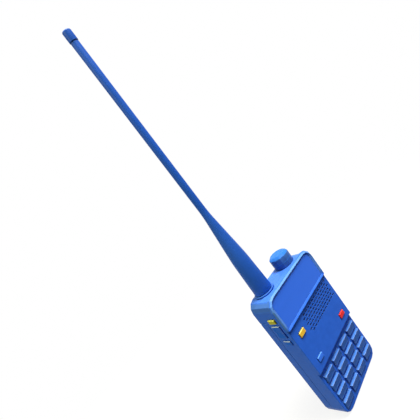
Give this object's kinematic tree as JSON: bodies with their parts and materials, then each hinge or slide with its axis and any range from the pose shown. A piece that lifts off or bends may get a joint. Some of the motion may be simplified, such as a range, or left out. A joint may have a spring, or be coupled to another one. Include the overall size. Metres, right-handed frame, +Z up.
{
  "type": "toy walkie talkie",
  "caption": "Slim blue handset with a long whip antenna, volume knob, display window, speaker grille, keypad, side buttons and a slide-off battery pack.",
  "frame": {"origin": "middle of the base that the handset stands on, half way between the front panel and the back of the pack", "axes": "+Z up along the antenna, +X to the right seen from the front, +Y from the keypad to the battery pack"},
  "size_m": [0.0606, 0.0223, 0.3064],
  "materials": {
    "body_blue": "satin moulded plastic",
    "key_blue": "glossy moulded plastic",
    "pane_blue": "plain tinted pane",
    "antenna_blue": "satin flexible sleeve",
    "yellow": "glossy moulded plastic",
    "red": "glossy moulded plastic",
    "light_blue": "glossy moulded plastic",
    "black_plastic": "matt moulded plastic",
    "speaker_cloth": "woven dust cloth",
    "paper_cone": "pressed paper",
    "circuit_board": "solder-masked board",
    "membrane_rubber": "silicone rubber",
    "steel": "plain steel",
    "brass": "plain brass",
    "display_glass": "display cell",
    "cell_can": "foil-wrapped flat cell"
  },
  "bodies": {
    "housing": {"front_shell": "body_blue", "back_plate": "black_plastic", "case_screw_left": "steel", "case_screw_right": "steel", "display_window": "pane_blue", "display_module": "display_glass", "main_board": "circuit_board", "key_membrane": "membrane_rubber", "grille_cloth": "speaker_cloth", "speaker_basket": "steel", "speaker_cone": "paper_cone", "speaker_magnet": "steel", "microphone": "steel", "side_switch_board": "circuit_board", "battery_connector": "brass", "volume_control": "steel", "antenna_socket": "brass", "antenna_collar": "body_blue"},
    "antenna": {"antenna_whip": "antenna_blue", "antenna_cap": "antenna_blue", "antenna_stud": "brass"},
    "volume": {"volume_knob": "body_blue", "volume_shaft": "steel"},
    "battery_pack": {"battery_case": "body_blue", "battery_lid": "black_plastic", "battery_cell": "cell_can", "pack_terminals": "brass"},
    "key_r1_c1": {"key_r1_c1": "key_blue"},
    "key_r1_c2": {"key_r1_c2": "key_blue"},
    "key_r1_c3": {"key_r1_c3": "key_blue"},
    "key_r1_c4": {"key_r1_c4": "key_blue"},
    "key_r2_c1": {"key_r2_c1": "key_blue"},
    "key_r2_c2": {"key_r2_c2": "key_blue"},
    "key_r2_c3": {"key_r2_c3": "key_blue"},
    "key_r2_c4": {"key_r2_c4": "key_blue"},
    "key_r3_c1": {"key_r3_c1": "key_blue"},
    "key_r3_c2": {"key_r3_c2": "key_blue"},
    "key_r3_c3": {"key_r3_c3": "key_blue"},
    "key_r3_c4": {"key_r3_c4": "key_blue"},
    "key_r4_c1": {"key_r4_c1": "key_blue"},
    "key_r4_c2": {"key_r4_c2": "key_blue"},
    "key_r4_c3": {"key_r4_c3": "key_blue"},
    "key_r4_c4": {"key_r4_c4": "key_blue"},
    "yellow_button": {"yellow_button": "yellow"},
    "blue_button": {"blue_button": "light_blue"},
    "red_button": {"red_button": "red"},
    "call_button": {"call_button": "yellow"},
    "ptt_button": {"ptt_button": "key_blue"},
    "monitor_button": {"monitor_button": "body_blue"}
  },
  "joints": [
    {"name": "antenna_turn", "type": "hinge", "parent": "housing", "child": "antenna", "pos_m": [-0.0153, 0.002, 0.1072], "axis": [0, 0, 1], "range_deg": [0, 360]},
    {"name": "volume_turn", "type": "hinge", "parent": "housing", "child": "volume", "pos_m": [0.014, 0.002, 0.1072], "axis": [0, 0, 1], "range_deg": [0, 300]},
    {"name": "pack_slide", "type": "slide", "parent": "housing", "child": "battery_pack", "axis": [0, 0, -1], "range_m": [0, 0.03]},
    {"name": "key_r1_c1_press", "type": "slide", "parent": "housing", "child": "key_r1_c1", "axis": [0, 1, 0], "range_m": [0, 0.0008], "stiffness_N_per_m": 500},
    {"name": "key_r1_c2_press", "type": "slide", "parent": "housing", "child": "key_r1_c2", "axis": [0, 1, 0], "range_m": [0, 0.0008], "stiffness_N_per_m": 500},
    {"name": "key_r1_c3_press", "type": "slide", "parent": "housing", "child": "key_r1_c3", "axis": [0, 1, 0], "range_m": [0, 0.0008], "stiffness_N_per_m": 500},
    {"name": "key_r1_c4_press", "type": "slide", "parent": "housing", "child": "key_r1_c4", "axis": [0, 1, 0], "range_m": [0, 0.0008], "stiffness_N_per_m": 500},
    {"name": "key_r2_c1_press", "type": "slide", "parent": "housing", "child": "key_r2_c1", "axis": [0, 1, 0], "range_m": [0, 0.0008], "stiffness_N_per_m": 500},
    {"name": "key_r2_c2_press", "type": "slide", "parent": "housing", "child": "key_r2_c2", "axis": [0, 1, 0], "range_m": [0, 0.0008], "stiffness_N_per_m": 500},
    {"name": "key_r2_c3_press", "type": "slide", "parent": "housing", "child": "key_r2_c3", "axis": [0, 1, 0], "range_m": [0, 0.0008], "stiffness_N_per_m": 500},
    {"name": "key_r2_c4_press", "type": "slide", "parent": "housing", "child": "key_r2_c4", "axis": [0, 1, 0], "range_m": [0, 0.0008], "stiffness_N_per_m": 500},
    {"name": "key_r3_c1_press", "type": "slide", "parent": "housing", "child": "key_r3_c1", "axis": [0, 1, 0], "range_m": [0, 0.0008], "stiffness_N_per_m": 500},
    {"name": "key_r3_c2_press", "type": "slide", "parent": "housing", "child": "key_r3_c2", "axis": [0, 1, 0], "range_m": [0, 0.0008], "stiffness_N_per_m": 500},
    {"name": "key_r3_c3_press", "type": "slide", "parent": "housing", "child": "key_r3_c3", "axis": [0, 1, 0], "range_m": [0, 0.0008], "stiffness_N_per_m": 500},
    {"name": "key_r3_c4_press", "type": "slide", "parent": "housing", "child": "key_r3_c4", "axis": [0, 1, 0], "range_m": [0, 0.0008], "stiffness_N_per_m": 500},
    {"name": "key_r4_c1_press", "type": "slide", "parent": "housing", "child": "key_r4_c1", "axis": [0, 1, 0], "range_m": [0, 0.0008], "stiffness_N_per_m": 500},
    {"name": "key_r4_c2_press", "type": "slide", "parent": "housing", "child": "key_r4_c2", "axis": [0, 1, 0], "range_m": [0, 0.0008], "stiffness_N_per_m": 500},
    {"name": "key_r4_c3_press", "type": "slide", "parent": "housing", "child": "key_r4_c3", "axis": [0, 1, 0], "range_m": [0, 0.0008], "stiffness_N_per_m": 500},
    {"name": "key_r4_c4_press", "type": "slide", "parent": "housing", "child": "key_r4_c4", "axis": [0, 1, 0], "range_m": [0, 0.0008], "stiffness_N_per_m": 500},
    {"name": "yellow_button_press", "type": "slide", "parent": "housing", "child": "yellow_button", "axis": [0, 1, 0], "range_m": [0, 0.0007], "stiffness_N_per_m": 500},
    {"name": "blue_button_press", "type": "slide", "parent": "housing", "child": "blue_button", "axis": [0, 1, 0], "range_m": [0, 0.0007], "stiffness_N_per_m": 500},
    {"name": "red_button_press", "type": "slide", "parent": "housing", "child": "red_button", "axis": [0, 1, 0], "range_m": [0, 0.0007], "stiffness_N_per_m": 500},
    {"name": "call_button_press", "type": "slide", "parent": "housing", "child": "call_button", "axis": [1, 0, 0], "range_m": [0, 0.0007], "stiffness_N_per_m": 600},
    {"name": "ptt_button_press", "type": "slide", "parent": "housing", "child": "ptt_button", "axis": [1, 0, 0], "range_m": [0, 0.0007], "stiffness_N_per_m": 600},
    {"name": "monitor_button_press", "type": "slide", "parent": "housing", "child": "monitor_button", "axis": [1, 0, 0], "range_m": [0, 0.0007], "stiffness_N_per_m": 600}
  ]
}
